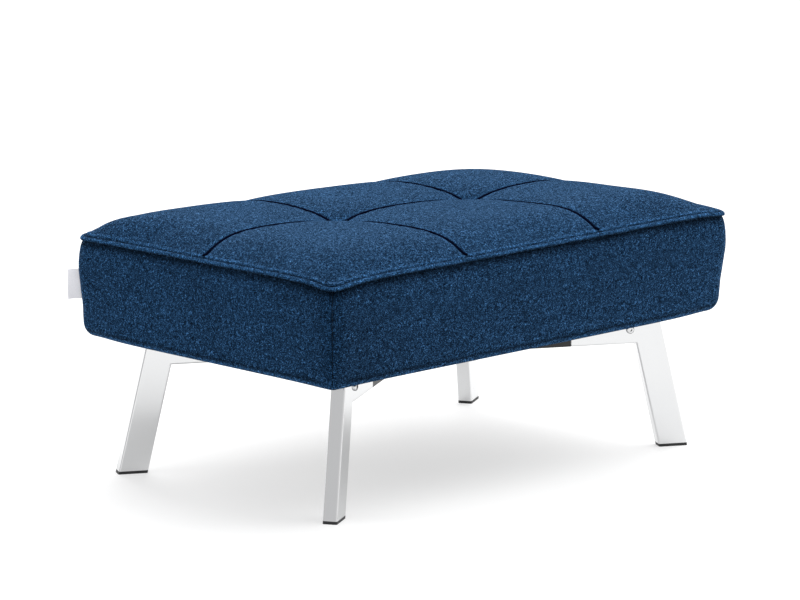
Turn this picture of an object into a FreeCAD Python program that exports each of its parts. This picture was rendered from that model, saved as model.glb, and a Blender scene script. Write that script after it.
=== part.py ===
import FreeCAD, Part
import math
import os

# Upholstered footstool on four splayed chromed legs, in millimetres.
# The origin is on the floor under the middle of the stool. X runs along its length, Y across it
# and Z up. The front is the long side at -Y, and the left end is the one at -X.

# Cushion, outside sizes
cushion_length = 952.0
cushion_width = 638.0
underside_height = 238.0
seam_height = 409.0
panel_seam_height = 448.0
panel_crown_height = 456.0
corner_radius = 32.0
seam_corner_radius = 28.0
shoulder_radius = 10.0
hem_radius = 18.0

# Cover
cloth_thickness = 2.0
panel_columns = 3
panel_rows = 2
panel_inset = 4.0
panel_gap = 1.0
flange_inset = 2.0
flange_width = 12.0
flange_thickness = 5.0
hem_return = 40.0
dust_cover_thickness = 1.0
dust_cover_gap = 2.0
label_width = 18.0
label_height = 54.0
label_thickness = 1.0
label_bottom_height = 300.0

# Filling and board
foam_inset = 18.0
foam_corner_radius = 20.0
core_foam_thickness = 90.0
board_thickness = 15.0
board_corner_radius = 45.0
dimple_depth = 30.0
dimple_radius = 55.0
tuft_tie_diameter = 2.5
tuft_tie_clearance = 0.25
tuft_washer_diameter = 20.0
tuft_washer_bore = 3.5
tuft_washer_thickness = 2.0
washer_pocket_clearance = 0.3

# Legs and frame, all of one rectangular steel tube
tube_width = 50.0
tube_thickness = 25.0
tube_wall = 2.0
tube_corner_radius = 3.0
leg_splay = 12.95
foot_inset = 71.0
glide_height = 5.0
glide_plug_height = 16.0
glide_plug_clearance = 0.2
arm_length = 117.0
arm_gap = 1.0
bar_meeting_offset = 19.0
spigot_clearance = 0.3
spigot_wall = 2.0
spigot_corner_radius = 2.0
spigot_grip = 45.0
spigot_setback = 4.0

# Leg bolts and their weld nuts
bolt_diameter = 7.8
bolt_length = 16.0
bolt_hole_diameter = 9.0
bolt_head_diameter = 14.0
bolt_head_height = 4.4
bolt_head_rounding = 3.2
bolt_socket_width = 5.0
bolt_socket_depth = 2.6
bolt_inset = 12.0
nut_width = 13.0
nut_height = 6.0
nut_bore_diameter = 8.0

# Plates, screws and pads between the frame and the board
plate_thickness = 4.0
plate_corner_radius = 8.0
hub_upper_length = 160.0
hub_upper_width = 120.0
hub_upper_screw_spacing = 124.0
hub_lower_length = 76.0
hub_lower_width = 72.0
tab_distance = 50.0
tab_length = 40.0
tab_width = 96.0
tab_screw_spacing = 68.0
screw_diameter = 6.0
screw_length = 17.0
screw_hole_diameter = 6.6
screw_head_diameter = 12.0
screw_head_height = 4.0
screw_head_rounding = 1.6
tee_nut_bore = 6.2
tee_nut_barrel_diameter = 8.0
tee_nut_barrel_length = 10.0
tee_nut_flange_diameter = 19.0
tee_nut_flange_thickness = 1.5
tee_nut_clearance = 0.2
pad_length = 45.0
pad_width = 20.0

# Heights and half sizes that follow from the above
half_length = cushion_length / 2
half_width = cushion_width / 2
panel_base = seam_height + flange_thickness
panel_edge_height = panel_base + cloth_thickness
board_bottom = underside_height + cloth_thickness
board_top = board_bottom + board_thickness
core_foam_top = board_top + core_foam_thickness
plate_top = board_bottom - dust_cover_thickness
frame_top = plate_top - plate_thickness
frame_middle = frame_top - tube_width / 2
frame_bottom = frame_top - tube_width
dimple_bottom = panel_seam_height - dimple_depth
tuft_tie_top = dimple_bottom - cloth_thickness
foot_x = half_length - foot_inset
foot_y = half_width - foot_inset
panel_length = 2 * (half_length - panel_inset) / panel_columns
panel_width = 2 * (half_width - panel_inset) / panel_rows
tuft_spots = [(-panel_length / 2, 0.0), (panel_length / 2, 0.0)]

# Each leg is drawn in a frame of its own: the foot's centre is the origin, X points outwards
# along the leg's plane, Z is up. The leg's axis leans inwards as it rises.
splay = math.radians(leg_splay)
heading = math.atan2(foot_y - bar_meeting_offset, foot_x)
half_cut_width = tube_width / 2 / math.cos(splay)
inner_corner = -frame_bottom * math.tan(splay) - half_cut_width
outer_corner = -frame_top * math.tan(splay) + half_cut_width
arm_end = inner_corner - arm_length
bar_start = arm_end - arm_gap
spigot_outer_end = inner_corner - spigot_setback
spigot_inner_end = bar_start - spigot_grip
bolt_place = inner_corner - bolt_inset
tab_place = arm_end - tab_distance
far = cushion_length + cushion_width

corners = [
    ("left_front", -1, -1),
    ("right_front", 1, -1),
    ("left_rear", -1, 1),
    ("right_rear", 1, 1),
]


def at_corner(shape, side_x, side_y):
    """Move a piece from the leg's own frame to its corner of the stool."""
    placed = shape.copy()
    angle = math.degrees(math.atan2(side_y * math.sin(heading), side_x * math.cos(heading)))
    placed.rotate(FreeCAD.Vector(0, 0, 0), FreeCAD.Vector(0, 0, 1), angle)
    placed.translate(FreeCAD.Vector(side_x * foot_x, side_y * foot_y, 0))
    return placed


def spot_at_corner(x, y, side_x, side_y):
    """The place on the stool of a point in the leg's own frame."""
    vertex = at_corner(Part.Vertex(x, y, 0), side_x, side_y)
    return (vertex.X, vertex.Y)


def edges_along(shape, direction):
    """The straight edges of a shape that run along one axis."""
    found = []
    for edge in shape.Edges:
        if edge.Curve.TypeId == "Part::GeomLine" and edge.Curve.Direction.isParallel(direction, 1e-6):
            found.append(edge)
    return found


def rounded_slab(half_x, half_y, bottom, top, radius):
    """A flat slab centred on the origin, with rounded corners in plan."""
    slab = Part.makeBox(2 * half_x, 2 * half_y, top - bottom, FreeCAD.Vector(-half_x, -half_y, bottom))
    return slab.makeFillet(radius, edges_along(slab, FreeCAD.Vector(0, 0, 1)))


def rounded_bar(start, end, height, thickness, radius):
    """A bar along X with its middle on the X axis and rounded long edges."""
    corner = FreeCAD.Vector(start, -thickness / 2, -height / 2)
    bar = Part.makeBox(end - start, thickness, height, corner)
    return bar.makeFillet(radius, edges_along(bar, FreeCAD.Vector(1, 0, 0)))


def tube(start, end, height, thickness, wall, radius):
    """A rectangular tube along X, open at both ends."""
    outside = rounded_bar(start, end, height, thickness, radius)
    inner_radius = max(radius - wall, wall / 4)
    inside = rounded_bar(start, end, height - 2 * wall, thickness - 2 * wall, inner_radius)
    return outside.cut(inside)


def upright(shape):
    """Turn a bar along X so that it rises from the foot along the leaning axis of the leg."""
    turned = shape.copy()
    turned.rotate(FreeCAD.Vector(0, 0, 0), FreeCAD.Vector(0, 1, 0), -(90 + leg_splay))
    return turned


def side_profile(points):
    """A block whose outline is given as X and Z pairs, wider than the tube is thick."""
    corners_3d = [FreeCAD.Vector(x, -tube_thickness, z) for x, z in points]
    face = Part.Face(Part.makePolygon(corners_3d + corners_3d[:1]))
    return face.extrude(FreeCAD.Vector(0, 2 * tube_thickness, 0))


def mitre_point(height):
    """Where the mitre between leg and arm lies at a height, in the leg's own frame."""
    share = (height - frame_bottom) / tube_width
    return inner_corner + share * (outer_corner - inner_corner)


def round_pin(radius, x, y, bottom, top):
    """An upright round pin."""
    return Part.makeCylinder(radius, top - bottom, FreeCAD.Vector(x, y, bottom))


def export(name, shape):
    """Write one piece to its own file."""
    shape.exportStep(os.path.join("parts", name + ".step"))


def cushion_block(inset):
    """The cushion below its top seam, drawn in by an inset on every side and on the bottom."""
    block = rounded_slab(
        half_length - inset,
        half_width - inset,
        underside_height + inset,
        seam_height - inset,
        corner_radius - inset,
    )
    hem_edges = [e for e in block.Edges if e.BoundBox.ZMax < underside_height + inset + 1]
    block = block.makeFillet(hem_radius - inset, hem_edges)
    shoulder_edges = [e for e in block.Edges if e.BoundBox.ZMin > seam_height - inset - 1]
    return block.makeFillet(shoulder_radius - inset, shoulder_edges)


def foam_slab(bottom, top):
    """A slab with the outline that both foams share."""
    return rounded_slab(half_length - foam_inset, half_width - foam_inset, bottom, top, foam_corner_radius)


def side_wedge(side_x, side_y):
    """The upright block that holds one side strip, cut at 45 degrees at the corners."""
    reach = half_length - half_width
    if side_y:
        outline = [(-half_length, side_y * half_width), (half_length, side_y * half_width)]
        outline += [(reach, 0), (-reach, 0)]
    else:
        outline = [(side_x * half_length, -half_width), (side_x * half_length, half_width)]
        outline += [(side_x * reach, 0)]
    base = [FreeCAD.Vector(x, y, underside_height) for x, y in outline]
    face = Part.Face(Part.makePolygon(base + base[:1]))
    return face.extrude(FreeCAD.Vector(0, 0, seam_height - underside_height))


def arch(low, low_height, high, high_height):
    """An upright face over one span of the top: flat below, and one arc from edge to edge."""
    crown = FreeCAD.Vector((low + high) / 2, 0, panel_crown_height)
    low_top = FreeCAD.Vector(low, 0, low_height)
    high_top = FreeCAD.Vector(high, 0, high_height)
    low_base = FreeCAD.Vector(low, 0, panel_base)
    high_base = FreeCAD.Vector(high, 0, panel_base)
    edges = [
        Part.makeLine(low_base, low_top),
        Part.Arc(low_top, crown, high_top).toShape(),
        Part.makeLine(high_top, high_base),
        Part.makeLine(high_base, low_base),
    ]
    return Part.Face(Part.Wire(edges))


def edge_heights(index, count):
    """Heights of a panel's two sides: low at the cushion's edge, higher at a seam."""
    low = panel_edge_height if index == 0 else panel_seam_height
    high = panel_edge_height if index == count - 1 else panel_seam_height
    return low, high


def top_block(column, row):
    """The space over one field of the top, up to the outside of its cover."""
    x_low = -half_length + panel_inset + column * panel_length + panel_gap / 2
    y_low = -half_width + panel_inset + row * panel_width + panel_gap / 2
    x_high = x_low + panel_length - panel_gap
    y_high = y_low + panel_width - panel_gap
    z_low, z_high = edge_heights(column, panel_columns)
    along = arch(x_low, z_low, x_high, z_high)
    along.translate(FreeCAD.Vector(0, y_low, 0))
    along = along.extrude(FreeCAD.Vector(0, y_high - y_low, 0))
    z_low, z_high = edge_heights(row, panel_rows)
    across = arch(y_low, z_low, y_high, z_high)
    across.rotate(FreeCAD.Vector(0, 0, 0), FreeCAD.Vector(0, 0, 1), 90)
    across.translate(FreeCAD.Vector(x_low, 0, 0))
    across = across.extrude(FreeCAD.Vector(x_high - x_low, 0, 0))
    outline = rounded_slab(
        half_length - panel_inset,
        half_width - panel_inset,
        panel_base,
        panel_crown_height + panel_base,
        seam_corner_radius,
    )
    block = along.common(across).common(outline)
    for x, y in tuft_spots:
        tip = FreeCAD.Vector(x, y, dimple_bottom)
        dimple = Part.makeCone(tuft_tie_diameter, 2 * dimple_radius, 2 * dimple_depth, tip)
        block = block.cut(dimple)
    return block


os.makedirs("parts", exist_ok=True)

# Leg posts, arms, glides and rubber pads
post_space = side_profile([
    (mitre_point(glide_height), glide_height),
    (far, glide_height),
    (far, frame_top + tube_width),
    (mitre_point(frame_top + tube_width), frame_top + tube_width),
])
arm_space = side_profile([
    (mitre_point(frame_bottom - tube_width), frame_bottom - tube_width),
    (mitre_point(frame_top + tube_width), frame_top + tube_width),
    (arm_end - tube_width, frame_top + tube_width),
    (arm_end - tube_width, frame_bottom - tube_width),
])
post_length = (frame_top + 2 * tube_width) / math.cos(splay)
leg_post = upright(
    tube(-tube_width, post_length, tube_width, tube_thickness, tube_wall, tube_corner_radius)
).common(post_space)
leg_arm = tube(arm_end, outer_corner, tube_width, tube_thickness, tube_wall, tube_corner_radius)
leg_arm.translate(FreeCAD.Vector(0, 0, frame_middle))
leg_arm = leg_arm.common(arm_space)

glide_cap = upright(
    rounded_bar(-tube_width, tube_width, tube_width, tube_thickness, tube_corner_radius)
).common(side_profile([(-far, 0), (far, 0), (far, glide_height), (-far, glide_height)]))
plug_fit = 2 * (tube_wall + glide_plug_clearance)
plug_top = glide_height + glide_plug_height
glide_plug = upright(
    rounded_bar(
        -tube_width, 2 * tube_width, tube_width - plug_fit, tube_thickness - plug_fit, spigot_corner_radius
    )
).common(side_profile([(-far, glide_height), (far, glide_height), (far, plug_top), (-far, plug_top)]))
glide = glide_cap.fuse(glide_plug).removeSplitter()

pad_end = outer_corner - tube_corner_radius
arm_pad = Part.makeBox(
    pad_length, pad_width, plate_thickness, FreeCAD.Vector(pad_end - pad_length, -pad_width / 2, frame_top)
)

# Spigots, which join the frame's bars to the leg arms
spigot_fit = 2 * (tube_wall + spigot_clearance)
spigot = tube(
    spigot_inner_end,
    spigot_outer_end,
    tube_width - spigot_fit,
    tube_thickness - spigot_fit,
    spigot_wall,
    spigot_corner_radius,
)
spigot.translate(FreeCAD.Vector(0, 0, frame_middle))

# Leg bolts and weld nuts, drawn with the head on the +Y face of the arm
arm_face = tube_thickness / 2
spigot_inner_face = arm_face - spigot_fit / 2 - spigot_wall
bolt_base = FreeCAD.Vector(bolt_place, arm_face, frame_middle)
inwards = FreeCAD.Vector(0, -1, 0)
outwards = FreeCAD.Vector(0, 1, 0)
bolt_head = Part.makeCylinder(bolt_head_diameter / 2, bolt_head_height, bolt_base, outwards)
rim = [e for e in bolt_head.Edges if e.BoundBox.YMin > arm_face + bolt_head_height / 2 and e.Closed]
bolt_head = bolt_head.makeFillet(bolt_head_rounding, rim[:1])


def hexagon(width, depth, centre, direction):
    """A six-sided prism along Y, given its width across flats."""
    points = []
    for step in range(7):
        turn = math.radians(60 * step)
        reach = width / 2 / math.cos(math.radians(30))
        points.append(centre + FreeCAD.Vector(reach * math.cos(turn), 0, reach * math.sin(turn)))
    return Part.Face(Part.makePolygon(points)).extrude(direction * depth)


socket_mouth = bolt_base + outwards * bolt_head_height
bolt_socket = hexagon(bolt_socket_width, bolt_socket_depth, socket_mouth, inwards)
bolt_shank = Part.makeCylinder(bolt_diameter / 2, bolt_length, bolt_base, inwards)
leg_bolt = bolt_head.fuse(bolt_shank).cut(bolt_socket).removeSplitter()
nut_base = FreeCAD.Vector(bolt_place, spigot_inner_face, frame_middle)
weld_nut = hexagon(nut_width, nut_height, nut_base, inwards)
weld_nut = weld_nut.cut(Part.makeCylinder(nut_bore_diameter / 2, nut_height, nut_base, inwards))
bolt_hole = Part.makeCylinder(bolt_hole_diameter / 2, tube_thickness / 2, bolt_base, inwards)
leg_arm_pieces = {+1: leg_arm.cut(bolt_hole)}
spigot_pieces = {+1: spigot.cut(bolt_hole)}
bolt_pieces = {+1: leg_bolt}
nut_pieces = {+1: weld_nut}
for pieces in (leg_arm_pieces, spigot_pieces, bolt_pieces, nut_pieces):
    pieces[-1] = pieces[+1].mirror(FreeCAD.Vector(0, 0, 0), outwards)

# Frame bars with their tabs, and the hub plates that join them in the middle
frame_bar = tube(-far, bar_start, tube_width, tube_thickness, tube_wall, tube_corner_radius)
frame_bar.translate(FreeCAD.Vector(0, 0, frame_middle))
frame_tab = rounded_slab(tab_length / 2, tab_width / 2, frame_top, plate_top, plate_corner_radius)
frame_tab.translate(FreeCAD.Vector(tab_place, 0, 0))
hub_upper = rounded_slab(
    hub_upper_length / 2, hub_upper_width / 2, frame_top, plate_top, plate_corner_radius
)
hub_lower = rounded_slab(
    hub_lower_length / 2,
    hub_lower_width / 2,
    frame_bottom - plate_thickness,
    frame_bottom,
    plate_corner_radius,
)

# Places of the screws that hold the frame to the board
hub_screw_spots = [(-hub_upper_screw_spacing / 2, 0.0), (hub_upper_screw_spacing / 2, 0.0)]
tab_screw_spots = []
for name, side_x, side_y in corners:
    for side in (-1, 1):
        tab_screw_spots.append(spot_at_corner(tab_place, side * tab_screw_spacing / 2, side_x, side_y))
screw_spots = hub_screw_spots + tab_screw_spots

plate_holes = []
frame_screws = []
tee_nuts = []
board_holes = []
cloth_holes = []
flange_bottom = board_top - tee_nut_flange_thickness
barrel_bottom = flange_bottom - tee_nut_barrel_length
for x, y in screw_spots:
    hole = round_pin(screw_hole_diameter / 2, x, y, frame_top - 1, plate_top + 1)
    plate_holes.append(hole)
    head = round_pin(screw_head_diameter / 2, x, y, frame_top - screw_head_height, frame_top)
    head_rim = [e for e in head.Edges if e.Closed and e.BoundBox.ZMax < frame_top - 1]
    head = head.makeFillet(screw_head_rounding, head_rim)
    shank = round_pin(screw_diameter / 2, x, y, frame_top, frame_top + screw_length)
    frame_screws.append(head.fuse(shank).removeSplitter())
    barrel = round_pin(tee_nut_barrel_diameter / 2, x, y, barrel_bottom, flange_bottom)
    flange = round_pin(tee_nut_flange_diameter / 2, x, y, flange_bottom, board_top)
    bore = round_pin(tee_nut_bore / 2, x, y, barrel_bottom, board_top)
    tee_nuts.append(barrel.fuse(flange).cut(bore).removeSplitter())
    barrel_room = tee_nut_barrel_diameter / 2 + tee_nut_clearance
    flange_room = tee_nut_flange_diameter / 2 + tee_nut_clearance
    board_holes.append(round_pin(barrel_room, x, y, board_bottom, board_top))
    board_holes.append(round_pin(flange_room, x, y, flange_bottom, board_top))
    cloth_holes.append(round_pin(screw_hole_diameter / 2, x, y, plate_top, board_bottom))

export("hub_plate_upper", hub_upper.cut(Part.makeCompound(plate_holes[:len(hub_screw_spots)])))
export("hub_plate_lower", hub_lower)
export("frame_screws", Part.makeCompound(frame_screws))
export("tee_nuts", Part.makeCompound(tee_nuts))

leg_bolts = []
weld_nuts = []
for name, side_x, side_y in corners:
    head_side = side_x * side_y
    export("leg_post_" + name, at_corner(leg_post, side_x, side_y))
    export("leg_arm_" + name, at_corner(leg_arm_pieces[head_side], side_x, side_y))
    export("leg_glide_" + name, at_corner(glide, side_x, side_y))
    export("arm_pad_" + name, at_corner(arm_pad, side_x, side_y))
    export("spigot_" + name, at_corner(spigot_pieces[head_side], side_x, side_y))
    leg_bolts.append(at_corner(bolt_pieces[head_side], side_x, side_y))
    weld_nuts.append(at_corner(nut_pieces[head_side], side_x, side_y))
    own_half = Part.makeBox(far, 2 * far, 2 * far, FreeCAD.Vector(0, -far, -far))
    if side_x < 0:
        own_half.translate(FreeCAD.Vector(-far, 0, 0))
    export("frame_bar_" + name, at_corner(frame_bar, side_x, side_y).common(own_half))
    tab = at_corner(frame_tab, side_x, side_y)
    export("frame_tab_" + name, tab.cut(Part.makeCompound(plate_holes)))
export("leg_bolts", Part.makeCompound(leg_bolts))
export("weld_nuts", Part.makeCompound(weld_nuts))

# Base board, with the holes for the tee nuts and the pockets for the tuft washers
tie_holes = []
washer_pockets = []
tuft_washers = []
for x, y in tuft_spots:
    tie_room = tuft_tie_diameter / 2 + tuft_tie_clearance
    pocket_room = tuft_washer_diameter / 2 + washer_pocket_clearance
    washer_top = board_bottom + tuft_washer_thickness
    tie_holes.append(round_pin(tie_room, x, y, board_bottom, tuft_tie_top))
    washer_pockets.append(round_pin(pocket_room, x, y, board_bottom, washer_top))
    washer = round_pin(tuft_washer_diameter / 2, x, y, board_bottom, washer_top)
    tuft_washers.append(washer.cut(round_pin(tuft_washer_bore / 2, x, y, board_bottom, washer_top)))
all_tie_holes = Part.makeCompound(tie_holes)
board_outline = rounded_slab(
    half_length - foam_inset, half_width - foam_inset, board_bottom, board_top, board_corner_radius
)
board = board_outline
for hole in board_holes + tie_holes + washer_pockets:
    board = board.cut(hole)
export("base_board", board)
export("tuft_washers", Part.makeCompound(tuft_washers))
for name, (x, y) in zip(("left", "right"), tuft_spots):
    export("tuft_tie_" + name, round_pin(tuft_tie_diameter / 2, x, y, board_bottom, tuft_tie_top))

# Foams and side wadding
export("core_foam", foam_slab(board_top, core_foam_top).cut(all_tie_holes))
export("topper_foam", foam_slab(core_foam_top, panel_base).cut(all_tie_holes))
wadding = cushion_block(cloth_thickness).cut(foam_slab(board_top, panel_base)).cut(board_outline)
export("side_wadding", wadding)

# Side strips, turned in under the board along the bottom and sewn to the flange at the top
hem_opening = rounded_slab(
    half_length - hem_return, half_width - hem_return, underside_height, board_top, foam_corner_radius
)
strip_ring = cushion_block(0).cut(cushion_block(cloth_thickness)).cut(hem_opening)
strip_ring = strip_ring.cut(foam_slab(core_foam_top, panel_base))
for name, side_x, side_y in (("front", 0, -1), ("rear", 0, 1), ("left", -1, 0), ("right", 1, 0)):
    export("side_strip_" + name, strip_ring.common(side_wedge(side_x, side_y)))

# Flange round the top seam
flange_outer_x = half_length - flange_inset
flange_outer_y = half_width - flange_inset
edge_flange = rounded_slab(flange_outer_x, flange_outer_y, seam_height, panel_base, seam_corner_radius)
edge_flange = edge_flange.cut(
    rounded_slab(
        flange_outer_x - flange_width,
        flange_outer_y - flange_width,
        seam_height,
        panel_base,
        seam_corner_radius - flange_width,
    )
)
export("edge_flange", edge_flange)

# Dust cover, inside the turned-in hem
dust_cover = rounded_slab(
    half_length - hem_return - dust_cover_gap,
    half_width - hem_return - dust_cover_gap,
    plate_top,
    board_bottom,
    foam_corner_radius - dust_cover_gap,
)
export("dust_cover", dust_cover.cut(Part.makeCompound(cloth_holes)))

# Cloth label, sewn in the seam of the left rear corner and sticking out along the diagonal
label = Part.makeBox(
    label_width, label_thickness, label_height, FreeCAD.Vector(corner_radius, -label_thickness / 2, 0)
)
label.rotate(FreeCAD.Vector(0, 0, 0), FreeCAD.Vector(0, 0, 1), 135)
label.translate(
    FreeCAD.Vector(corner_radius - half_length, half_width - corner_radius, label_bottom_height)
)
export("side_label", label)

# Top panels and the quilt pads under them
column_names = ("left", "middle", "right")
row_names = ("front", "rear")
for column, column_name in enumerate(column_names):
    for row, row_name in enumerate(row_names):
        block = top_block(column, row)
        lowered = block.copy()
        lowered.translate(FreeCAD.Vector(0, 0, -cloth_thickness))
        place = column_name + "_" + row_name
        export("top_panel_" + place, block.cut(lowered))
        export("quilt_pad_" + place, block.common(lowered).cut(all_tie_holes))
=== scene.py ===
import math

import bpy
import numpy as np
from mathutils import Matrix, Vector


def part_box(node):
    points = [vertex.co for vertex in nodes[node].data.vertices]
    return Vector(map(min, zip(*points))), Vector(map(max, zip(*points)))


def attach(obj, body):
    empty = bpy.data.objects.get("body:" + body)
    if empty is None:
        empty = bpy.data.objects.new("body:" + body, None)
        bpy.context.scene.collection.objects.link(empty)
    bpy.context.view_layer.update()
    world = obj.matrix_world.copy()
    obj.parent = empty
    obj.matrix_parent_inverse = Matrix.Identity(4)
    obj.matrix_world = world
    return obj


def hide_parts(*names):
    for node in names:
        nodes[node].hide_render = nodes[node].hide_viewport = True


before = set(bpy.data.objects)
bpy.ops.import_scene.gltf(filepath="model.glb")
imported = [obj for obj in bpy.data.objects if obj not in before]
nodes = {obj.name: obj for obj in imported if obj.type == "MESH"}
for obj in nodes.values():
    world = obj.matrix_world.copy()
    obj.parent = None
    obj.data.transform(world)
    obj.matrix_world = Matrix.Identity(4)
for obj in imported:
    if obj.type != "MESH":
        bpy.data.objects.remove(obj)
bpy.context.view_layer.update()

scene = bpy.context.scene

# Camera. A long lens about ten metres away, off the stool's left front corner and a little
# above its top, as for a catalogue view.
camera_data = bpy.data.cameras.new("camera")
camera_data.lens = 276.3
camera_data.sensor_width = 36
camera_data.clip_end = 200
camera = bpy.data.objects.new("camera", camera_data)
scene.collection.objects.link(camera)
scene.camera = camera
camera.location = (-7.191, -7.325, 2.361)
aim = Vector((0.0057, 0.0161, 0.2736))
camera.rotation_euler = (aim - camera.location).to_track_quat("-Z", "Y").to_euler()

# Studio. A white floor under a bright white dome and a broad overhead sun, with a wide soft
# light behind the stool and a weaker one on its left. The floor lights the stool a little less
# than it shows itself to the camera.
scene.view_settings.view_transform = "Standard"
floor_half = 40.0
floor_corners = [(-1, -1), (1, -1), (1, 1), (-1, 1)]
floor_mesh = bpy.data.meshes.new("floor")
floor_mesh.from_pydata(
    [(x * floor_half, y * floor_half, 0) for x, y in floor_corners], [], [(0, 1, 2, 3)]
)
floor = bpy.data.objects.new("floor", floor_mesh)
scene.collection.objects.link(floor)


def glowing_white(shader, tone, glow):
    """A matt surface that gives off light of its own, so that it stays pale in shade."""
    shader.inputs["Base Color"].default_value = (tone, tone, tone, 1)
    shader.inputs["Emission Color"].default_value = (1, 1, 1, 1)
    shader.inputs["Emission Strength"].default_value = glow
    shader.inputs["Roughness"].default_value = 0.9
    shader.inputs["Specular IOR Level"].default_value = 0.1


floor_material = bpy.data.materials.new("studio floor")
floor_material.use_nodes = True
floor_tree = floor_material.node_tree
seen_floor = floor_tree.nodes["Principled BSDF"]
glowing_white(seen_floor, tone=0.45, glow=0.56)
bounce = floor_tree.nodes.new("ShaderNodeBsdfPrincipled")
glowing_white(bounce, tone=0.44, glow=0.41)
seen = floor_tree.nodes.new("ShaderNodeLightPath")
blend = floor_tree.nodes.new("ShaderNodeMixShader")
floor_tree.links.new(seen.outputs["Is Camera Ray"], blend.inputs[0])
floor_tree.links.new(bounce.outputs[0], blend.inputs[1])
floor_tree.links.new(seen_floor.outputs[0], blend.inputs[2])
floor_tree.links.new(blend.outputs[0], floor_tree.nodes["Material Output"].inputs["Surface"])
floor_mesh.materials.append(floor_material)


def two_tones(tree, low, low_colour, high, high_colour):
    """A ramp from one colour to another."""
    ramp = tree.nodes.new("ShaderNodeValToRGB")
    stops = zip(ramp.color_ramp.elements, (low, high), (low_colour, high_colour))
    for element, position, colour in stops:
        element.position = position
        element.color = (*colour, 1)
    return ramp


# The dome is a little greyer towards this side.
grey_side = Vector((-0.85, 0.5, 0.1))
world = bpy.data.worlds.new("studio")
scene.world = world
world.use_nodes = True
sky = world.node_tree
background = sky.nodes["Background"]
background.inputs["Strength"].default_value = 0.82
direction = sky.nodes.new("ShaderNodeTexCoord")
split = sky.nodes.new("ShaderNodeVectorMath")
split.operation = "DOT_PRODUCT"
split.inputs[1].default_value = grey_side.normalized()
sky.links.new(direction.outputs["Generated"], split.inputs[0])
ramp = two_tones(sky, 0.35, (1.0, 1.0, 1.0), 0.95, (0.76, 0.76, 0.77))
shift = sky.nodes.new("ShaderNodeMath")
shift.operation = "MULTIPLY_ADD"
shift.inputs[1].default_value = 0.5
shift.inputs[2].default_value = 0.5
sky.links.new(split.outputs["Value"], shift.inputs[0])
sky.links.new(shift.outputs[0], ramp.inputs[0])
sky.links.new(ramp.outputs[0], background.inputs["Color"])


def soft_light(name, place, target, size, power):
    """A square soft box that faces a point on the stool."""
    data = bpy.data.lights.new(name, "AREA")
    data.size = size
    data.energy = power
    light = bpy.data.objects.new(name, data)
    scene.collection.objects.link(light)
    light.location = place
    light.rotation_euler = (Vector(target) - Vector(place)).to_track_quat("-Z", "Y").to_euler()


sun_data = bpy.data.lights.new("overhead", "SUN")
sun_data.energy = 3.0
sun_data.angle = math.radians(70)
sun = bpy.data.objects.new("overhead", sun_data)
scene.collection.objects.link(sun)
sun.rotation_euler = Vector((-0.62, 0.02, -1)).to_track_quat("-Z", "Y").to_euler()
soft_light("back_softbox", (1.8, 2.6, 2.6), (0, 0, 0.4), 2.2, 66)
soft_light("left_softbox", (-2.8, 1.6, 1.5), (-0.4, 0, 0.3), 1.5, 20)

# Cover cloth. A dark blue chenille with a short pile: it looks mottled close up, and its raised
# fibres catch the light at shallow angles.
def node_at(tree, kind, **values):
    """A new node with its properties set by name."""
    node = tree.nodes.new(kind)
    for name, value in values.items():
        setattr(node, name, value)
    return node


def stretched(tree, value, old, new, clamp=True):
    """A value spread from its old range over a new one."""
    node = node_at(tree, "ShaderNodeMapRange", clamp=clamp)
    for name, limit in zip(("From Min", "From Max", "To Min", "To Max"), (*old, *new)):
        node.inputs[name].default_value = limit
    tree.links.new(value, node.inputs["Value"])
    return node.outputs["Result"]


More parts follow.
